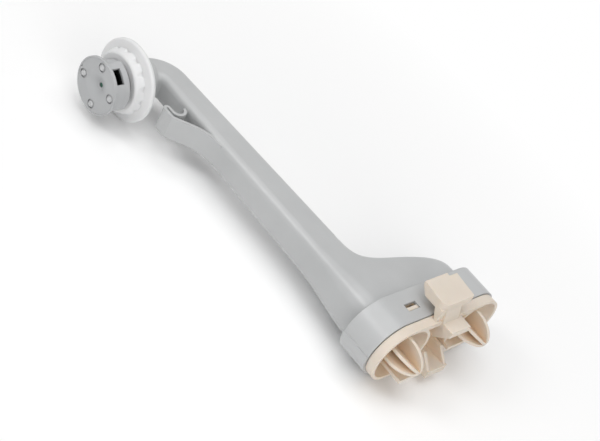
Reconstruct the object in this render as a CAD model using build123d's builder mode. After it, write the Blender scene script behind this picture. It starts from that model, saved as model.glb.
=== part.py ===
"""Feed tube of a dishwasher's upper wash arm.

A moulded tube carries water from one of two docking ports at the rack's rear
to the hub on which the wash arm turns. The tube lies along +X with its flat
sides up and down, the hub faces -Y, and the origin is on the hub's axis,
level with the collar lobe that is in line with the tube.
"""

import os
from math import atan, cos, degrees, radians, sin, tanh

from build123d import *

os.makedirs("parts", exist_ok=True)

# Tube run: a tapered rounded box section, straight on its -Y side
wall = 2.2
dock_reach = 242.5
elbow_bend = 14.0
near_side_start = 7.6
near_side_end = 12.5
far_side_start = 12.2
far_side_neck = 16.5
far_side_end = 76.5
half_height_start = 9.9
half_height_neck = 12.0
half_height_end = 17.5
run_corner = 5.0
flare_corner = 11.0

# Flare: the far side swings out to the second port over a short shoulder
flare_length = 57.0
shoulder_back = 25.0
shoulder_length = 9.2
flare_steps = 8

# Collar around the docking coupling
collar_depth = 22.0
collar_radius = 21.2
lobe_spacing = 68.0
window_length = 5.2
window_width = 10.0
window_inset = 9.6
window_offset = 13.2
parting_step = 0.5

# Docking coupling
plug_clearance = 0.25
gasket_thickness = 1.4
gasket_width = 2.0
rim_proud = 6.5
rim_gap = 0.4
port_inset = 3.0
cup_inset = 1.9
cup_stretch = 2.8
mouth_radius = 18.5
throat_radius = 15.6
cup_wall = 2.0
floor_thickness = 2.2
cup_depth = 13.5
lug_height = 1.6
lug_length = 2.5
lug_play = 0.4

# Finned nose in each port
nose_reach = 15.5
blade_thickness = 1.8
blade_angles = (103.0, 145.0, 171.0)
blade_radius = 16.4
nose_blunt = 3.8
belly_radius = 12.4
keel_drop = 8.0
keel_width = 18.6
keel_thickness = 2.2
keel_setbacks = (3.6, 11.0)
keel_shifts = (0.0, -10.0)

# Guide boss between the ports, and the hook over the collar
boss_width = 17.3
boss_half_height = 19.6
boss_reach = 9.5
boss_web = 2.4
boss_plate = 2.4
boss_nib = 4.4
head_depth = 12.6
gusset_lead = 1.5
gusset_toe = 5.6
gusset_rise = 13.0
pocket_depth = 11.0
hook_width = 27.0
hook_length = 20.2
hook_thickness = 6.0
hook_rise = 1.8
hook_gap = 6.3
hook_setback = 1.3
hook_tip = 1.6
hook_slope = 5.0
hook_neck_width = 19.0
hook_neck_depth = 6.0
hook_neck_lean = 3.6
hook_ramp = 1.2
hook_corner = 5.0
hook_edge = 1.5
hook_round = 0.8
notch_width = 7.0
notch_length = 2.6

# Check flaps behind the ports
seat_radius = 9.5
seat_inset = 7.0
seat_drop = 1.0
flap_lap = 2.0
flap_thickness = 2.0
flap_gap = 0.3
pin_radius = 1.0
running_clearance = 0.05
knuckle_radius = 2.3
knuckle_width = 8.0
ear_thickness = 2.4
ear_gap = 0.4
hinge_rise = 13.2

# Spigot under the elbow
spigot_radius = 12.6
spigot_wall = 1.9
spigot_tip = 32.0
shoulder_radius = 15.6
shoulder_face = 23.4
shoulder_depth = 3.0
spider_face = 20.0
spider_depth = 5.0
spider_web = 2.0
spider_boss = 4.2
spoke_count = 3

# Retaining nut
face_gap = 0.3
turning_gap = 0.3
nut_radius = 27.2
nut_depth = 10.6
nut_rim = 2.4
nut_edge = 0.9
nut_skirt = 21.6
nut_skirt_depth = 4.6
nut_nose_radius = 18.8
nut_lip = 1.0
flute_radius = 2.6
flute_offset = 1.3
flute_count = 14

# Spray hub and its dished face disc
neck_radius = 14.8
chamber_radius = 11.6
chamber_floor = 2.4
stem_wall = 2.2
stem_depth = 10.0
neck_length = 13.4
disc_radius = 19.0
disc_thickness = 1.6
dish_radius = 10.6
dish_depth = 3.8
dish_floor = 2.8
dish_sag = 1.1
sector_angle = 105.0
sector_middle = 37.0
sector_setback = 3.6
sector_wall = 2.0
outlet_angle = 32.0
outlet_middle = 57.0
outlet_depth = 5.6
stud_count = 4
stud_circle = 14.0
stud_angle = 5.0
stud_radius = 1.4
stud_head_radius = 2.3
stud_head_height = 1.3
stud_head_taper = 25.0
stud_recess = 0.6
stud_ring = 0.7
stud_post = 1.0
stud_depth = 5.0
axle_radius = 1.6
axle_recess = 0.5
spacer_radius = 5.0
spacer_gap = 0.2
disc_notch = 1.2
disc_notch_angle = 174.0

# Rack wire clip on the straight side
clip_height = 16.4
clip_thickness = 2.0
clip_root_x = 76.0
clip_reach = 39.5
clip_stand = 16.9
clip_pad = 8.0
clip_lean = 38.0
clip_turn = 3.4
clip_tongue = 3.3
clip_eye = 4.7

# Places worked out from the sizes above
collar_front = dock_reach
collar_rear = collar_front - collar_depth
collar_bore = collar_radius - wall
flare_start = collar_rear - flare_length
shoulder_x = collar_rear - shoulder_back
elbow_x = elbow_bend
centre_start = (far_side_start - near_side_start) / 2
elbow_pivot = centre_start - elbow_bend
rim_front = collar_front + rim_proud
rim_back = collar_front + rim_gap
plug_radius = collar_bore - plug_clearance
plug_rear = collar_rear + wall + gasket_thickness
cup_floor = rim_front - cup_depth
seat_face = cup_floor - floor_thickness
port_rows = (port_inset, lobe_spacing - port_inset)
cup_rows = (cup_inset, lobe_spacing - cup_inset)
cup_spacing = cup_rows[1] - cup_rows[0]
seat_rows = (seat_inset, lobe_spacing - seat_inset)
lobe_centre = lobe_spacing / 2
hinge_x = seat_face - knuckle_radius - flap_gap
spigot_bore = spigot_radius - spigot_wall
nut_back = shoulder_face + face_gap
nut_front = nut_back + nut_depth
hub_back = nut_front + face_gap
disc_back = hub_back + neck_length
disc_front = disc_back + disc_thickness
lug_reach = collar_bore + lug_height
window_front = collar_rear + window_inset + window_length


def blend(share):
    """Smooth step from 0 to 1."""
    held = min(max(share, 0.0), 1.0)
    return held * held * (3 - 2 * held)


def tube_section(x, inset=0.0):
    """Rounded box section of the tube at x, shrunk all round by inset."""
    taper = min((x - elbow_x) / (flare_start - elbow_x), 1.0)
    flare = blend((x - flare_start) / flare_length)
    swing = (1 + tanh((x - inset - shoulder_x) / shoulder_length)) / 2
    near = near_side_start + (near_side_end - near_side_start) * flare
    far = far_side_start + (far_side_neck - far_side_start) * taper
    far += (far_side_end - far_side_neck) * swing
    half_height = half_height_start + (half_height_neck - half_height_start) * taper
    half_height += (half_height_end - half_height_neck) * flare
    corner = run_corner + (flare_corner - run_corner) * flare
    with BuildSketch(Plane.YZ.offset(x)) as section:
        with Locations(((far - near) / 2, 0)):
            RectangleRounded(far + near - 2 * inset, 2 * (half_height - inset), corner - inset)
    return section.sketch


def stadium(x, radius, spacing=lobe_spacing):
    """Two round lobes in one outline, across the collar at x."""
    with BuildSketch(Plane.YZ.offset(x)) as outline:
        with Locations((lobe_centre, 0)):
            SlotCenterToCenter(spacing, 2 * radius)
    return outline.sketch


def sector(depth, middle, spread, radius):
    """Wedge of a disc around the hub's axis, from its centre to radius."""
    ends = [radians(middle + spread * share) for share in (-0.5, 0, 0.5)]
    points = [(radius * cos(end), radius * sin(end)) for end in ends]
    with BuildSketch(Plane.XZ.offset(depth)) as wedge:
        with BuildLine():
            ThreePointArc(*points)
            Polyline(points[2], (0, 0), points[0])
        make_face()
    return wedge.sketch


def flare_sections(end, inset=0.0):
    """Evenly spaced sections from the neck of the flare to its end."""
    step = (end - flare_start) / flare_steps
    return [tube_section(flare_start + step * index, inset) for index in range(flare_steps + 1)]


# Feed tube: elbow, tapered run, flare, collar, spigot and clip in one moulding
with BuildPart() as feed_tube:
    loft(sections=[tube_section(elbow_x), tube_section(flare_start)], ruled=True)
    loft(sections=flare_sections(collar_rear))
    revolve(tube_section(elbow_x), Axis((elbow_x, elbow_pivot, 0), (0, 0, 1)), 90)
    extrude(stadium(collar_rear, collar_radius), collar_depth)
    with BuildSketch(Plane.YZ.offset(collar_rear)):
        with Locations((lobe_centre, 0)):
            SlotCenterToCenter(lobe_spacing, 2 * (collar_radius + parting_step))
        with Locations((lobe_centre, collar_radius)):
            Rectangle(lobe_spacing + 4 * collar_radius, 2 * collar_radius, mode=Mode.SUBTRACT)
    extrude(amount=collar_depth)
    with BuildSketch(Plane.XZ.offset(-elbow_pivot - spigot_wall)):
        Circle(spigot_radius)
    extrude(amount=spigot_tip + elbow_pivot + spigot_wall)
    with BuildSketch(Plane.XZ.offset(shoulder_face - shoulder_depth)):
        Circle(shoulder_radius)
    extrude(amount=shoulder_depth)

    # Rack wire clip: an arm that leaves the side, turns back on itself and curls to an eye
    clip_end_x = clip_root_x - clip_reach
    clip_y = clip_thickness / 2 - near_side_start - clip_stand
    eye_x = clip_end_x + clip_tongue
    eye_y = clip_y + clip_turn + clip_eye
    with BuildSketch(Plane.XY.offset(-clip_height / 2)):
        with BuildLine():
            arm = Spline(
                (clip_root_x, clip_thickness / 2 - near_side_start),
                (clip_end_x + clip_pad, clip_y),
                tangents=((-1, 0), (-cos(radians(clip_lean)), -sin(radians(clip_lean)))),
            )
            Line(arm @ 1, (clip_end_x, clip_y))
            turn = ThreePointArc(
                (clip_end_x, clip_y),
                (clip_end_x - clip_turn / 2, clip_y + clip_turn / 2),
                (clip_end_x, clip_y + clip_turn),
            )
            Line(turn @ 1, (eye_x, clip_y + clip_turn))
            ThreePointArc((eye_x, eye_y - clip_eye), (eye_x + clip_eye, eye_y), (eye_x, eye_y + clip_eye))
        trace(line_width=clip_thickness)
    extrude(amount=clip_height)

    # Water way: the same sections, one wall thickness smaller
    loft(
        sections=[tube_section(elbow_x, wall), tube_section(flare_start, wall)],
        ruled=True,
        mode=Mode.SUBTRACT,
    )
    loft(sections=flare_sections(collar_rear + wall, wall), mode=Mode.SUBTRACT)
    revolve(
        tube_section(elbow_x, wall),
        Axis((elbow_x, elbow_pivot, 0), (0, 0, 1)),
        90,
        mode=Mode.SUBTRACT,
    )
    with BuildSketch(Plane.XZ.offset(-elbow_pivot - spigot_wall)):
        Circle(half_height_start - wall)
    extrude(amount=spider_face + elbow_pivot + spigot_wall, mode=Mode.SUBTRACT)
    with BuildSketch(Plane.XZ.offset(spider_face)):
        Circle(spigot_bore)
    extrude(amount=spigot_tip - spider_face, mode=Mode.SUBTRACT)
    extrude(stadium(collar_rear + wall, collar_bore), collar_depth, mode=Mode.SUBTRACT)

    # Snap windows in the collar, one on each flat side at opposite lobes
    for window_y, side in ((window_offset, 1), (lobe_spacing - window_offset, -1)):
        with Locations((window_front - window_length / 2, window_y, side * collar_radius)):
            Box(window_length, window_width, 4 * wall, mode=Mode.SUBTRACT)

    # Spider that carries the hub's axle across the water way
    with BuildSketch(Plane.XZ.offset(spider_face - wall)):
        Circle(spider_boss)
        with PolarLocations(0, spoke_count):
            with Locations((spigot_bore / 2, 0)):
                Rectangle(spigot_bore + spigot_wall, spider_web)
        Circle(axle_radius, mode=Mode.SUBTRACT)
    extrude(amount=spider_depth)

# Docking coupling: two cups with finned noses, a guide boss and a hook over the collar
with BuildPart() as docking_coupling:
    extrude(stadium(plug_rear, plug_radius), rim_back - plug_rear)
    extrude(stadium(rim_back, mouth_radius + cup_wall, cup_spacing + cup_stretch), rim_front - rim_back)

    # Chamber behind the port floors
    extrude(stadium(plug_rear, plug_radius - gasket_width), seat_face - plug_rear, mode=Mode.SUBTRACT)

    # Pocket in front, between the cups and the boss
    with BuildSketch(Plane.YZ.offset(rim_front)):
        with Locations((lobe_centre, 0)):
            Rectangle(cup_spacing, 2 * (plug_radius - cup_wall))
        with Locations(*[(row, 0) for row in cup_rows]):
            SlotCenterToCenter(cup_stretch, 2 * (mouth_radius + cup_wall), mode=Mode.SUBTRACT)
    extrude(amount=-pocket_depth, mode=Mode.SUBTRACT)

    # Tapered cups and the seats in their floors
    with BuildSketch(Plane.YZ.offset(rim_front)):
        with Locations(*[(row, 0) for row in cup_rows]):
            SlotCenterToCenter(cup_stretch, 2 * mouth_radius)
    cup_taper = degrees(atan((mouth_radius - throat_radius) / cup_depth))
    extrude(amount=-cup_depth, taper=cup_taper, mode=Mode.SUBTRACT)
    with BuildSketch(Plane.YZ.offset(seat_face)):
        with Locations(*[(row, -seat_drop) for row in seat_rows]):
            Circle(seat_radius)
    extrude(amount=floor_thickness, mode=Mode.SUBTRACT)

    # Finned noses: blades with a bullet outline, and a keel under each
    nose_tip = rim_front + nose_reach
    for row, setback, shift in zip(port_rows, keel_setbacks, keel_shifts):
        for angle in blade_angles:
            across = (0, -sin(radians(angle)), cos(radians(angle)))
            with BuildSketch(Plane((0, row, 0), x_dir=(1, 0, 0), z_dir=across)):
                with BuildLine():
                    Polyline(
                        (nose_tip, 0),
                        (cup_floor, 0),
                        (cup_floor, throat_radius),
                        (rim_front, blade_radius),
                    )
                    ThreePointArc(
                        (rim_front, blade_radius),
                        (nose_tip - nose_blunt, belly_radius),
                        (nose_tip, 0),
                    )
                make_face()
            extrude(amount=blade_thickness / 2, both=True)
        with BuildSketch(Plane.XY.offset(-keel_drop)):
            with Locations(((cup_floor + nose_tip - setback) / 2, row + shift)):
                Rectangle(nose_tip - setback - cup_floor, keel_width)
        extrude(amount=keel_thickness / 2, both=True)

    # Guide boss: a wedge head above, and below it a plate between two gussets
    boss_front = rim_front + boss_reach
    boss_back = rim_front - pocket_depth
    boss_inner = plug_radius - cup_wall
    plate_front = boss_front + gusset_lead
    with BuildSketch(Plane.XZ.offset(-lobe_centre - boss_width / 2)):
        with BuildLine():
            Polyline(
                (boss_back, boss_inner),
                (rim_back, boss_inner),
                (rim_back, boss_half_height),
                (boss_front, boss_half_height),
                (boss_front, boss_half_height - boss_nib),
                (rim_front, boss_half_height - head_depth),
                (boss_back, boss_half_height - head_depth),
                close=True,
            )
        make_face()
    extrude(amount=boss_width)
    for start, drop in ((boss_back, boss_inner), (rim_back, boss_half_height)):
        with BuildSketch(Plane.YZ.offset(start)):
            with Locations((lobe_centre, boss_plate / 2 - drop)):
                Rectangle(boss_width, boss_plate)
        extrude(amount=plate_front - start)
    for side in (-1, 1):
        gusset_y = lobe_centre + side * (boss_width - boss_web) / 2
        with BuildSketch(Plane.XZ.offset(-gusset_y - boss_web / 2)):
            with BuildLine():
                Polyline(
                    (boss_back, -boss_inner),
                    (rim_back, -boss_inner),
                    (rim_back, -boss_half_height),
                    (plate_front, -boss_half_height),
                    (plate_front - gusset_lead, gusset_toe - boss_half_height),
                    (rim_front + gusset_lead, gusset_rise - boss_half_height),
                    (boss_back, gusset_rise - boss_half_height),
                    close=True,
                )
            make_face()
        extrude(amount=boss_web)

    # Hook: a pad with a sloping underside that stands over the collar on a leaning neck
    hook_under = collar_radius + hook_gap
    hook_top = hook_under + hook_thickness
    hook_front = rim_front - hook_setback
    hook_rear = hook_front - hook_length
    with BuildSketch(Plane.XY.offset(hook_under)) as pad_plan:
        with Locations((hook_front - hook_length / 2, lobe_centre)):
            Rectangle(hook_length, hook_width)
        fillet(pad_plan.vertices().group_by(Axis.Y)[0].sort_by(Axis.X)[-1], hook_corner)
        fillet(pad_plan.vertices().group_by(Axis.Y)[-1].sort_by(Axis.X)[-1], hook_edge)
        with Locations((hook_rear, lobe_centre + hook_width / 2)):
            Rectangle(2 * notch_length, 2 * notch_width, mode=Mode.SUBTRACT)
    pad_block = extrude(amount=hook_thickness + hook_rise, mode=Mode.PRIVATE)
    with BuildSketch(Plane.XZ.offset(-lobe_centre - hook_width / 2)):
        with BuildLine():
            Polyline(
                (hook_rear, hook_top + hook_rise),
                (hook_rear, hook_top + hook_rise - hook_tip),
                (hook_rear + hook_slope, hook_under),
                (hook_front, hook_under),
                (hook_front, hook_top),
                close=True,
            )
        make_face()
    pad_profile = extrude(amount=hook_width, mode=Mode.PRIVATE)
    pad = pad_block & pad_profile
    pad_top = pad.faces().sort_by(Axis.Z)[-1]
    add(pad.fillet(hook_round, pad_top.edges()))
    neck_side = lobe_centre + hook_neck_width - hook_width / 2
    with BuildSketch(Plane.XZ.offset(-neck_side)):
        with BuildLine():
            Polyline(
                (hook_front, boss_inner),
                (hook_front, hook_under + hook_tip),
                (hook_front - hook_neck_depth, hook_under + hook_tip),
                (hook_front - hook_neck_depth, hook_under),
                (hook_front - hook_neck_depth + hook_neck_lean, mouth_radius + cup_wall),
                (hook_front - hook_neck_depth + hook_neck_lean, boss_inner),
                close=True,
            )
        make_face()
    extrude(amount=hook_neck_width)

    # Ramp that carries the neck's front down to the wedge head
    with BuildSketch(Plane.XZ.offset(-neck_side)):
        with BuildLine():
            Polyline(
                (hook_front, hook_under),
                (rim_front + hook_ramp, boss_half_height),
                (hook_front, boss_half_height),
                close=True,
            )
        make_face()
    extrude(amount=neck_side - lobe_centre + boss_width / 2)

    # Snap lugs that stand in the front of the collar's windows, each with a relief slot behind it
    lug_front = window_front - lug_play
    lug_base = plug_radius - gasket_width
    relief_length = window_length - lug_play - lug_length
    for lug_y, side in ((window_offset, 1), (lobe_spacing - window_offset, -1)):
        with Locations((lug_front - lug_length - relief_length / 2, lug_y, side * plug_radius)):
            Box(relief_length, window_width, 4 * gasket_width, mode=Mode.SUBTRACT)
        with Locations((lug_front - lug_length / 2, lug_y, side * (lug_base + lug_reach) / 2)):
            Box(lug_length, window_width - 2 * lug_play, lug_reach - lug_base)

    # Ears for the flap pins, hung from the chamber's top wall
    ear_span = knuckle_width + 2 * ear_gap + ear_thickness
    ear_root = plug_radius - gasket_width / 2
    for row in seat_rows:
        for side in (-1, 1):
            ear_y = row + side * ear_span / 2
            with BuildSketch(Plane.XZ.offset(-ear_y - ear_thickness / 2)):
                with Locations((hinge_x, hinge_rise)):
                    Circle(knuckle_radius)
                with Locations(((hinge_x + seat_face) / 2, (hinge_rise + ear_root) / 2)):
                    Rectangle(seat_face - hinge_x, ear_root - hinge_rise)
                with Locations((hinge_x, hinge_rise)):
                    Circle(pin_radius, mode=Mode.SUBTRACT)
            extrude(amount=ear_thickness)

# Gasket between the coupling and the collar's inner ledge
with BuildPart() as coupling_gasket:
    extrude(stadium(collar_rear + wall, plug_radius), gasket_thickness)
    extrude(stadium(collar_rear + wall, plug_radius - gasket_width), gasket_thickness, mode=Mode.SUBTRACT)

# Pins that carry the flaps
with BuildPart() as flap_pins:
    pin_length = knuckle_width + 2 * ear_gap + 2 * ear_thickness
    for row in seat_rows:
        with BuildSketch(Plane.XZ.offset(-row - pin_length / 2)):
            with Locations((hinge_x, hinge_rise)):
                Circle(pin_radius)
        extrude(amount=pin_length)


def check_flap(row):
    """Round flap with its knuckle, closed against the seat at row."""
    flap_radius = seat_radius + flap_lap
    with BuildPart() as flap:
        flap_back = seat_face - flap_gap - flap_thickness
        with BuildSketch(Plane.YZ.offset(flap_back)):
            with Locations((row, -seat_drop)):
                Circle(flap_radius)
            with Locations((row, hinge_rise / 2)):
                Rectangle(knuckle_width, hinge_rise)
        extrude(amount=flap_thickness)
        with BuildSketch(Plane.XZ.offset(-row - knuckle_width / 2)):
            with Locations((hinge_x, hinge_rise)):
                Circle(knuckle_radius)
        extrude(amount=knuckle_width)
        with BuildSketch(Plane.XZ.offset(-row - knuckle_width / 2)):
            with Locations((hinge_x, hinge_rise)):
                Circle(pin_radius + running_clearance)
        extrude(amount=knuckle_width, mode=Mode.SUBTRACT)
    return flap


lower_flap = check_flap(seat_rows[0])
upper_flap = check_flap(seat_rows[1])

# Retaining nut: a smooth flange with a fluted skirt, loose around the spigot
with BuildPart() as retaining_nut:
    nut_bore = spigot_radius + turning_gap
    skirt_base = nut_back + nut_skirt_depth
    with BuildSketch(Plane.XY):
        with BuildLine():
            Polyline(
                (nut_bore, -nut_back),
                (nut_radius - nut_edge, -nut_back),
                (nut_radius, -nut_back - nut_edge),
                (nut_radius, -nut_back - nut_rim),
                (nut_radius - nut_edge, -nut_back - nut_rim - nut_edge),
                (nut_skirt, -skirt_base),
                (nut_nose_radius + nut_lip, -nut_front + nut_lip),
                (nut_nose_radius, -nut_front),
                (nut_bore, -nut_front),
                close=True,
            )
        make_face()
    revolve(axis=Axis.Y)
    with BuildSketch(Plane.XZ.offset(skirt_base)):
        with PolarLocations(nut_skirt + flute_offset, flute_count):
            Circle(flute_radius)
    extrude(amount=nut_depth, mode=Mode.SUBTRACT)

# Spray hub: stem in the spigot, hollow neck, and two hollow sectors with outlets
with BuildPart() as spray_hub:
    stem_radius = spigot_bore - turning_gap
    with BuildSketch(Plane.XZ.offset(hub_back)):
        Circle(neck_radius)
    extrude(amount=neck_length)
    with BuildSketch(Plane.XZ.offset(hub_back - stem_depth)):
        Circle(stem_radius)
    extrude(amount=stem_depth)
    sector_back = hub_back + sector_setback
    sector_floor = sector_back + sector_wall
    hollow_angle = sector_angle - 2 * degrees(sector_wall / neck_radius)
    for turn_angle in (0, 180):
        block = sector(sector_back, sector_middle + turn_angle, sector_angle, disc_radius)
        extrude(block, disc_back - sector_back)
        hollow = sector(sector_floor, sector_middle + turn_angle, hollow_angle, disc_radius - sector_wall)
        extrude(hollow, disc_back - sector_floor, mode=Mode.SUBTRACT)
    with BuildSketch(Plane.XZ.offset(sector_back)):
        with PolarLocations(stud_circle, stud_count, stud_angle):
            Circle(stud_radius + stud_post)
    extrude(amount=disc_back - sector_back)
    for turn_angle in (0, 180):
        outlet = sector(disc_back, outlet_middle + turn_angle, outlet_angle, 2 * disc_radius)
        extrude(outlet, -outlet_depth, mode=Mode.SUBTRACT)
    with BuildSketch(Plane.XZ.offset(hub_back - stem_depth)):
        Circle(stem_radius - stem_wall)
    extrude(amount=stem_depth + chamber_floor, mode=Mode.SUBTRACT)
    with BuildSketch(Plane.XZ.offset(hub_back + chamber_floor)):
        Circle(chamber_radius)
    extrude(amount=neck_length, mode=Mode.SUBTRACT)
    with BuildSketch(Plane.XZ.offset(disc_back - stud_depth)):
        with PolarLocations(stud_circle, stud_count, stud_angle):
            Circle(stud_radius)
    extrude(amount=stud_depth, mode=Mode.SUBTRACT)

# Face disc: dished in the middle, held to the hub by four studs
with BuildPart() as hub_disc:
    disc_bore = axle_radius + running_clearance
    with BuildSketch(Plane.XY):
        with BuildLine():
            middle = (dish_radius + dish_floor) / 2
            ThreePointArc(
                (dish_radius, -disc_front),
                (middle, -disc_front + dish_sag),
                (dish_floor, -disc_front + dish_depth),
            )
            Polyline(
                (dish_floor, -disc_front + dish_depth),
                (disc_bore, -disc_front + dish_depth),
                (disc_bore, -disc_back + dish_depth),
                (dish_floor, -disc_back + dish_depth),
            )
            ThreePointArc(
                (dish_floor, -disc_back + dish_depth),
                (middle, -disc_back + dish_sag),
                (dish_radius, -disc_back),
            )
            Polyline(
                (dish_radius, -disc_back),
                (disc_radius, -disc_back),
                (disc_radius, -disc_front),
                (dish_radius, -disc_front),
            )
        make_face()
    revolve(axis=Axis.Y)
    with BuildSketch(Plane.XZ.offset(disc_back)):
        with PolarLocations(stud_circle, stud_count, stud_angle):
            Circle(stud_radius)
        with PolarLocations(disc_radius - disc_notch, 1, disc_notch_angle):
            Circle(disc_notch / 2)
    extrude(amount=disc_thickness, mode=Mode.SUBTRACT)
    with BuildSketch(Plane.XZ.offset(disc_front - stud_recess)):
        with PolarLocations(stud_circle, stud_count, stud_angle):
            Circle(stud_head_radius + stud_ring)
    extrude(amount=stud_recess, mode=Mode.SUBTRACT)

# Studs through the disc into the hub
with BuildPart() as hub_studs:
    with BuildSketch(Plane.XZ.offset(disc_back - stud_depth)):
        with PolarLocations(stud_circle, stud_count, stud_angle):
            Circle(stud_radius)
    extrude(amount=stud_depth + disc_thickness - stud_recess)
    with BuildSketch(Plane.XZ.offset(disc_front - stud_recess)):
        with PolarLocations(stud_circle, stud_count, stud_angle):
            Circle(stud_head_radius)
    extrude(amount=stud_head_height, taper=stud_head_taper)

# Axle from the spider to the bottom of the dish
with BuildPart() as hub_axle:
    with BuildSketch(Plane.XZ.offset(spider_face - wall)):
        Circle(axle_radius)
    extrude(amount=disc_front - dish_depth - axle_recess - spider_face + wall)

# Spacer sleeve on the axle, which keeps the disc off the spider
with BuildPart() as axle_spacer:
    spacer_back = spider_face - wall + spider_depth
    spacer_front = disc_back - dish_depth - spacer_gap
    with BuildSketch(Plane.XZ.offset(spacer_back)):
        Circle(spacer_radius)
        Circle(axle_radius, mode=Mode.SUBTRACT)
    extrude(amount=spacer_front - spacer_back)

pieces = {
    "feed_tube": feed_tube,
    "docking_coupling": docking_coupling,
    "coupling_gasket": coupling_gasket,
    "lower_flap": lower_flap,
    "upper_flap": upper_flap,
    "flap_pins": flap_pins,
    "retaining_nut": retaining_nut,
    "spray_hub": spray_hub,
    "hub_disc": hub_disc,
    "hub_studs": hub_studs,
    "hub_axle": hub_axle,
    "axle_spacer": axle_spacer,
}
for name, piece in pieces.items():
    piece.part.label = name
    export_step(piece.part, f"parts/{name}.step")
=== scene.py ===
"""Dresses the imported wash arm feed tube: moulded plastics, hub details, floor, light and camera.

Lengths are in metres, and angles are in degrees until they are used.
"""

from math import cos, pi, radians, sin

import bpy
from mathutils import Matrix, Vector


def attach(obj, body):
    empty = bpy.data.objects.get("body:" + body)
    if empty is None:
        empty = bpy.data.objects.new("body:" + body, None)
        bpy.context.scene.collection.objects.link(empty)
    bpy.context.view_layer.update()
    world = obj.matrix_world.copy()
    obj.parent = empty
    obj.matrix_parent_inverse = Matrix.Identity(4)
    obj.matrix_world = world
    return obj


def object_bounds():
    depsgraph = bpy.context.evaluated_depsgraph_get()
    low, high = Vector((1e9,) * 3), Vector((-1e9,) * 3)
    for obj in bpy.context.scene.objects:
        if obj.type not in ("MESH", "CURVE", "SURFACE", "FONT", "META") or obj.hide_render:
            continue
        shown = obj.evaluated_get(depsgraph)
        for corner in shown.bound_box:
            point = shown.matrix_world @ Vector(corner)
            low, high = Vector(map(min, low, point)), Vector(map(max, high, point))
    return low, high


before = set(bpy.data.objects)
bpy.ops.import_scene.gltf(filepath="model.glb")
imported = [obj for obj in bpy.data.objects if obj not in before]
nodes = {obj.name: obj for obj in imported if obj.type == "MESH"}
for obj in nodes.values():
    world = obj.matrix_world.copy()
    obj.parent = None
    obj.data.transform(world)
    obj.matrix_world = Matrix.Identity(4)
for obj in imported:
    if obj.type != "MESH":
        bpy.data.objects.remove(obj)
cad_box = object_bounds()


# Node helpers

NOISE_ROUGHNESS = 0.55
NOISE_LOW = 0.30
NOISE_HIGH = 0.70


def main_shader(mat):
    return mat.node_tree.nodes["Principled BSDF"]


def new_material(name):
    """Material with a node tree, and its main shader."""
    mat = bpy.data.materials.new(name)
    mat.use_nodes = True
    return mat, main_shader(mat)


def link(tree, source, target):
    tree.links.new(source, target)


def own_coords(tree):
    """The object's own coordinates, which stay with it as it moves."""
    return tree.nodes.new("ShaderNodeTexCoord").outputs["Object"]


def noise(tree, coords, scale, detail):
    """Noise texture at coords, with scale in cells per metre."""
    node = tree.nodes.new("ShaderNodeTexNoise")
    node.inputs["Scale"].default_value = scale
    node.inputs["Detail"].default_value = detail
    node.inputs["Roughness"].default_value = NOISE_ROUGHNESS
    link(tree, coords, node.inputs["Vector"])
    return node.outputs["Fac"]


def spread(tree, value, low, high, near=NOISE_LOW, far=NOISE_HIGH):
    """Maps a value's range from near to far, a noise's middle range by default, onto low to high."""
    node = tree.nodes.new("ShaderNodeMapRange")
    node.inputs["From Min"].default_value = near
    node.inputs["From Max"].default_value = far
    node.inputs["To Min"].default_value = low
    node.inputs["To Max"].default_value = high
    link(tree, value, node.inputs["Value"])
    return node.outputs["Result"]


# Plastics, rubber and steel

CLOUD_DETAIL = 5.0
SHEEN_SCALE = 160.0
SHEEN_DETAIL = 3.0
GRAIN_SCALE = 2600.0
GRAIN_DETAIL = 2.0
GRAIN_STRENGTH = 0.35
EDGE_SAMPLES = 6
SHELTER_SAMPLES = 12


def moulded(name, dark, light, rough=(0.40, 0.52), grain=0.00004, edge=0.0006, specular=0.4, cloud=28.0):
    """Moulded plastic or rubber: faint flow clouds, fine spark-eroded grain, soft edges."""
    mat, bsdf = new_material(name)
    tree = mat.node_tree
    coords = own_coords(tree)
    ramp = tree.nodes.new("ShaderNodeValToRGB")
    for stop, place, tone in zip(ramp.color_ramp.elements, (NOISE_LOW, NOISE_HIGH), (dark, light)):
        stop.position = place
        stop.color = (*tone, 1.0)
    link(tree, noise(tree, coords, cloud, CLOUD_DETAIL), ramp.inputs["Fac"])
    link(tree, ramp.outputs["Color"], bsdf.inputs["Base Color"])
    sheen = noise(tree, coords, SHEEN_SCALE, SHEEN_DETAIL)
    link(tree, spread(tree, sheen, *rough), bsdf.inputs["Roughness"])
    bevel = tree.nodes.new("ShaderNodeBevel")
    bevel.samples = EDGE_SAMPLES
    bevel.inputs["Radius"].default_value = edge
    bump = tree.nodes.new("ShaderNodeBump")
    bump.inputs["Strength"].default_value = GRAIN_STRENGTH
    bump.inputs["Distance"].default_value = grain
    link(tree, noise(tree, coords, GRAIN_SCALE, GRAIN_DETAIL), bump.inputs["Height"])
    link(tree, bevel.outputs["Normal"], bump.inputs["Normal"])
    link(tree, bump.outputs["Normal"], bsdf.inputs["Normal"])
    bsdf.inputs["Specular IOR Level"].default_value = specular
    return mat


def drawn_steel(name, dark, light):
    """Drawn steel wire with a fine mottle."""
    mat = moulded(name, dark, light, rough=(0.22, 0.36), edge=0.0002, specular=0.5, cloud=400.0)
    main_shader(mat).inputs["Metallic"].default_value = 1.0
    return mat


def glow(mat, weight, depth, reach):
    """Lets light travel a little way into a pale plastic, with the reach of red, green and blue."""
    bsdf = main_shader(mat)
    bsdf.inputs["Subsurface Weight"].default_value = weight
    bsdf.inputs["Subsurface Radius"].default_value = reach
    bsdf.inputs["Subsurface Scale"].default_value = depth


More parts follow.
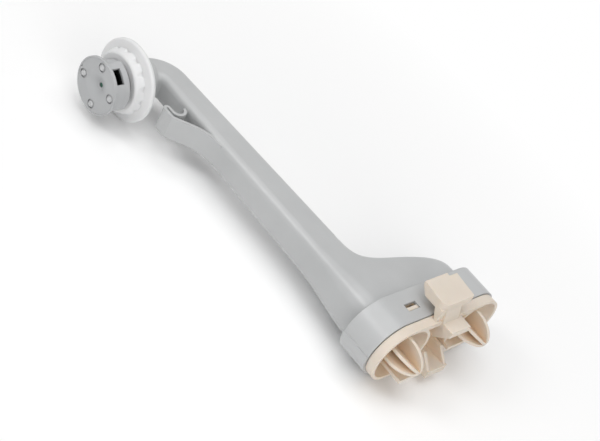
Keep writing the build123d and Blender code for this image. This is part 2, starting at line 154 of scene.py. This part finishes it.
def painted_hollow_shade(mat, shade_tone, reach, near, far):
    """Paints shade into a plastic's colour in a hollow, taking it fully to the shade tone where no more
    than near of its view is open.
    """
    tree = mat.node_tree
    base = main_shader(mat).inputs["Base Color"]
    plain = base.links[0].from_socket
    shelter = tree.nodes.new("ShaderNodeAmbientOcclusion")
    shelter.samples = SHELTER_SAMPLES
    shelter.inputs["Distance"].default_value = reach
    mix = tree.nodes.new("ShaderNodeMixRGB")
    mix.inputs["Color1"].default_value = (*shade_tone, 1.0)
    link(tree, spread(tree, shelter.outputs["AO"], 0.0, 1.0, near, far), mix.inputs["Fac"])
    link(tree, plain, mix.inputs["Color2"])
    link(tree, mix.outputs["Color"], base)


HUB_TONES = ((0.435, 0.442, 0.448), (0.478, 0.485, 0.491))
RUBBER_ROUGH = (0.6, 0.8)
UNLIT_PAINTED_SHADE = (0.01, 0.01, 0.01)
WARM_PAINTED_SHADE = (0.82, 0.67, 0.515)
GREY_PAINTED_SHADE = (0.09, 0.09, 0.09)
CREAM_REACH = (1.0, 0.75, 0.50)
WHITE_REACH = (1.0, 0.97, 0.94)

tube_grey = moulded(
    "tube_grey_moulded",
    (0.450, 0.457, 0.459),
    (0.490, 0.497, 0.499),
    rough=(0.29, 0.34),
    grain=0.000002,
    edge=0.0009,
    specular=0.6,
)
coupling_cream = moulded(
    "coupling_cream_moulded",
    (0.680, 0.600, 0.512),
    (0.745, 0.670, 0.582),
    rough=(0.42, 0.55),
)
glow(coupling_cream, weight=0.3, depth=0.003, reach=CREAM_REACH)
# Painted shade: the cream darkens to a warm brown in its cups and recesses, where light is shut out.
painted_hollow_shade(coupling_cream, WARM_PAINTED_SHADE, reach=0.025, near=0.10, far=0.62)
nut_white = moulded("nut_white_moulded", (0.715, 0.717, 0.720), (0.770, 0.772, 0.775), edge=0.0012)
glow(nut_white, weight=0.6, depth=0.004, reach=WHITE_REACH)
hub_grey = moulded("hub_grey_moulded", *HUB_TONES)
# Copy of the hub grey with painted shade: near black inside the hub's hollow, seen through its windows.
hub_painted_shade = moulded("hub_painted_shade_moulded", *HUB_TONES)
painted_hollow_shade(hub_painted_shade, UNLIT_PAINTED_SHADE, reach=0.02, near=0.15, far=0.45)
# Copy of the hub grey with painted shade: darker in the rings around the studs and other tight corners on
# the disc.
disc_painted_shade = moulded("disc_painted_shade_moulded", *HUB_TONES)
painted_hollow_shade(disc_painted_shade, GREY_PAINTED_SHADE, reach=0.002, near=0.20, far=0.62)
stud_grey = moulded("stud_grey_moulded", (0.520, 0.526, 0.530), (0.565, 0.571, 0.575), rough=(0.28, 0.36))
axle_green = moulded("axle_green_moulded", (0.012, 0.085, 0.052), (0.024, 0.120, 0.075), edge=0.0002)
# Near-black spacer, a guessed bearing bush; its very deep black also stands in for the shade seen through
# the hub's windows.
spacer_black = moulded("spacer_black_moulded", (0.006, 0.006, 0.006), (0.012, 0.012, 0.012), specular=0.2)
gasket_black = moulded("gasket_black_rubber", (0.030, 0.030, 0.030), (0.055, 0.055, 0.055), RUBBER_ROUGH)
flap_black = moulded("flap_dark_rubber", (0.070, 0.070, 0.070), (0.110, 0.110, 0.110), RUBBER_ROUGH)
pin_steel = drawn_steel("pin_drawn_steel", (0.50, 0.50, 0.51), (0.62, 0.62, 0.63))

finishes = {
    "feed_tube": tube_grey,
    "docking_coupling": coupling_cream,
    "coupling_gasket": gasket_black,
    "lower_flap": flap_black,
    "upper_flap": flap_black,
    "flap_pins": pin_steel,
    "retaining_nut": nut_white,
    "spray_hub": hub_painted_shade,
    "hub_disc": disc_painted_shade,
    "hub_studs": stud_grey,
    "hub_axle": axle_green,
    "axle_spacer": spacer_black,
}
for node_name, finish in finishes.items():
    node_mesh = nodes[node_name].data
    node_mesh.materials.clear()
    node_mesh.materials.append(finish)


# Small turned details on the hub's face

def node_box(name):
    """Corners of a CAD node's box in the frame."""
    node = nodes[name]
    points = [node.matrix_world @ vertex.co for vertex in node.data.vertices]
    low = Vector([min(point[axis] for point in points) for axis in range(3)])
    high = Vector([max(point[axis] for point in points) for axis in range(3)])
    return low, high


def turned(name, centre, profile, closed, finish, steps):
    """Ring or cap on the hub, turned about Y at centre from a profile of radius and height towards -Y."""
    verts = []
    faces = []
    count = len(profile)
    for step in range(steps):
        angle = 2 * pi * step / steps
        for radius, height in profile:
            x = centre.x + radius * cos(angle)
            z = centre.z + radius * sin(angle)
            verts.append((x, centre.y - height, z))
    spans = count if closed else count - 1
    for step in range(steps):
        here = step * count
        beyond = (step + 1) % steps * count
        for index in range(spans):
            after = (index + 1) % count
            faces.append((here + index, beyond + index, beyond + after, here + after))
    if not closed:
        faces.append(tuple(step * count + count - 1 for step in range(steps)))
        faces.append(tuple(step * count for step in reversed(range(steps))))
    mesh = bpy.data.meshes.new(name)
    mesh.from_pydata(verts, [], faces)
    mesh.validate()
    for polygon in mesh.polygons:
        polygon.use_smooth = True
    mesh.materials.append(finish)
    piece = bpy.data.objects.new(name, mesh)
    bpy.context.scene.collection.objects.link(piece)
    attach(piece, "hub")


def half_round(middle, width, height, sunk, points):
    """Profile of a bead of half-round section around a middle radius, sunk a little into its seat."""
    arc = []
    for index in range(points):
        angle = pi * index / (points - 1)
        arc.append((middle - width / 2 * cos(angle), height * sin(angle)))
    return [(middle - width / 2, -sunk)] + arc + [(middle + width / 2, -sunk)]


def low_dome(radius, height, sunk, sweep, points):
    """Profile of a dome from its foot, sunk a little into its seat, up over the sweep to a small flat."""
    profile = [(radius, -sunk)]
    for index in range(points):
        angle = radians(sweep) * index / (points - 1)
        profile.append((radius * cos(angle), height * sin(angle)))
    return profile


SUNK = 0.0003
BEAD_WIDTH = 0.0010
BEAD_HEIGHT = 0.00045
BEAD_POINTS = 9
BEAD_STEPS = 96
STUD_CIRCLE = 0.014
STUD_ANGLE = 5.0
STUD_COUNT = 4
DOME_RADIUS = 0.0011
DOME_HEIGHT = 0.00055
DOME_SWEEP = 80.0
DOME_POINTS = 7
DOME_STEPS = 32

disc_low, disc_high = node_box("hub_disc")
disc_radius = (disc_high.x - disc_low.x) / 2
disc_middle = Vector(((disc_low.x + disc_high.x) / 2, disc_low.y, (disc_low.z + disc_high.z) / 2))
bead = half_round(disc_radius - BEAD_WIDTH / 2, BEAD_WIDTH, BEAD_HEIGHT, SUNK, BEAD_POINTS)
turned("disc_rim_bead", disc_middle, bead, closed=True, finish=hub_grey, steps=BEAD_STEPS)

stud_face = node_box("hub_studs")[0].y
dome = low_dome(DOME_RADIUS, DOME_HEIGHT, SUNK, DOME_SWEEP, DOME_POINTS)
for number in range(STUD_COUNT):
    turn = radians(STUD_ANGLE + 360.0 * number / STUD_COUNT)
    stud_x = disc_middle.x + STUD_CIRCLE * cos(turn)
    stud_z = disc_middle.z + STUD_CIRCLE * sin(turn)
    stud_top = Vector((stud_x, stud_face, stud_z))
    turned(f"stud_dome_{number + 1}", stud_top, dome, closed=False, finish=stud_grey, steps=DOME_STEPS)


# Pale floor under the part, which keeps its shadow and fades to a white background

FLOOR_HALF = 4.0
FLOOR_MIDDLE = (0.12, 0.02)
FLOOR_STRETCH = 1.7
FLOOR_WHITE = (0.98, 0.98, 0.98, 1.0)
FLOOR_ROUGHNESS = 0.9
FADE_START = 0.08
FADE_END = 0.28


def backdrop_ray(tree):
    """1 for a ray that sees the background, straight or in a reflection, and otherwise 0."""
    rays = tree.nodes.new("ShaderNodeLightPath")
    seen = rays.outputs["Is Camera Ray"]
    for kind in ("Is Glossy Ray", "Is Transmission Ray"):
        either = tree.nodes.new("ShaderNodeMath")
        either.operation = "MAXIMUM"
        link(tree, seen, either.inputs[0])
        link(tree, rays.outputs[kind], either.inputs[1])
        seen = either.outputs["Value"]
    return seen


def mixed(tree, share, first, second):
    """Mix of two shaders, with share of the second."""
    mix = tree.nodes.new("ShaderNodeMixShader")
    link(tree, share, mix.inputs["Fac"])
    link(tree, first, mix.inputs[1])
    link(tree, second, mix.inputs[2])
    return mix.outputs["Shader"]


def floor_paper():
    """Matt white paper that fades to plain white with its distance from the part's middle."""
    mat, bsdf = new_material("floor_paper")
    tree = mat.node_tree
    bsdf.inputs["Base Color"].default_value = FLOOR_WHITE
    bsdf.inputs["Roughness"].default_value = FLOOR_ROUGHNESS
    away = tree.nodes.new("ShaderNodeVectorMath")
    away.operation = "LENGTH"
    link(tree, own_coords(tree), away.inputs[0])
    faded = tree.nodes.new("ShaderNodeMath")
    faded.operation = "MULTIPLY"
    link(tree, spread(tree, away.outputs["Value"], 0.0, 1.0, FADE_START, FADE_END), faded.inputs[0])
    link(tree, backdrop_ray(tree), faded.inputs[1])
    white = tree.nodes.new("ShaderNodeEmission")
    surface = mixed(tree, faded.outputs["Value"], bsdf.outputs["BSDF"], white.outputs["Emission"])
    link(tree, surface, tree.nodes["Material Output"].inputs["Surface"])
    return mat


floor_corners = [
    (-FLOOR_HALF, -FLOOR_HALF, 0.0),
    (FLOOR_HALF, -FLOOR_HALF, 0.0),
    (FLOOR_HALF, FLOOR_HALF, 0.0),
    (-FLOOR_HALF, FLOOR_HALF, 0.0),
]
floor_mesh = bpy.data.meshes.new("floor")
floor_mesh.from_pydata(floor_corners, [], [(0, 1, 2, 3)])
floor_mesh.materials.append(floor_paper())
floor = bpy.data.objects.new("floor", floor_mesh)
floor.location = (*FLOOR_MIDDLE, cad_box[0].z)
floor.scale = (FLOOR_STRETCH, 1.0, 1.0)
bpy.context.scene.collection.objects.link(floor)


# Soft light: a wide panel overhead, a small one for the line along the tube's upper edge,
# a weak one on the hub's side and one into the ports, in a dim white surround

LIT_MIDDLE = (0.12, 0.01, 0.0)
SURROUND_STRENGTH = 0.26
BACKDROP_STRENGTH = 1.0
WHITE = (1.0, 1.0, 1.0, 1.0)


def area_light(name, place, size, power):
    """Soft square light at place, turned to the part's middle."""
    data = bpy.data.lights.new(name, "AREA")
    data.shape = "SQUARE"
    data.size = size
    data.energy = power
    lamp = bpy.data.objects.new(name, data)
    lamp.location = place
    lamp.rotation_mode = "QUATERNION"
    lamp.rotation_quaternion = (Vector(LIT_MIDDLE) - Vector(place)).to_track_quat("-Z", "Y")
    bpy.context.scene.collection.objects.link(lamp)


def white_background(node, strength):
    """Sets a background shader to white of a given strength and returns its output."""
    node.inputs["Color"].default_value = WHITE
    node.inputs["Strength"].default_value = strength
    return node.outputs["Background"]


area_light("key_light", place=(0.18, -0.20, 2.40), size=2.4, power=34.0)
area_light("edge_light", place=(-0.42, -0.82, 0.92), size=0.45, power=3.6)
area_light("side_fill", place=(-0.90, 0.10, 0.90), size=0.7, power=1.0)
area_light("port_fill", place=(1.02, -0.46, 0.50), size=0.7, power=4.0)

world = bpy.data.worlds.new("studio")
world.use_nodes = True
world_tree = world.node_tree
surround = white_background(world_tree.nodes["Background"], SURROUND_STRENGTH)
backdrop = white_background(world_tree.nodes.new("ShaderNodeBackground"), BACKDROP_STRENGTH)
sky = mixed(world_tree, backdrop_ray(world_tree), surround, backdrop)
link(world_tree, sky, world_tree.nodes["World Output"].inputs["Surface"])
bpy.context.scene.world = world
bpy.context.scene.view_settings.view_transform = "Standard"


# Camera as fitted to the photograph, rolled so that the tube runs down to the right

CAMERA_PLACE = (0.5042, -0.6169, 0.5651)
CAMERA_BACK = (0.396, -0.683, 0.614)
CAMERA_UP = (-0.694, 0.215, 0.687)
LENS_MM = 90.0
SENSOR_MM = 36.0
CLIP_START = 0.05

back = Vector(CAMERA_BACK).normalized()
right = Vector(CAMERA_UP).cross(back).normalized()
up = back.cross(right)
camera_data = bpy.data.cameras.new("camera")
camera_data.lens = LENS_MM
camera_data.sensor_width = SENSOR_MM
camera_data.clip_start = CLIP_START
camera = bpy.data.objects.new("camera", camera_data)
turned_to_view = Matrix((right, up, back)).transposed().to_4x4()
camera.matrix_world = Matrix.Translation(CAMERA_PLACE) @ turned_to_view
bpy.context.scene.collection.objects.link(camera)
bpy.context.scene.camera = camera
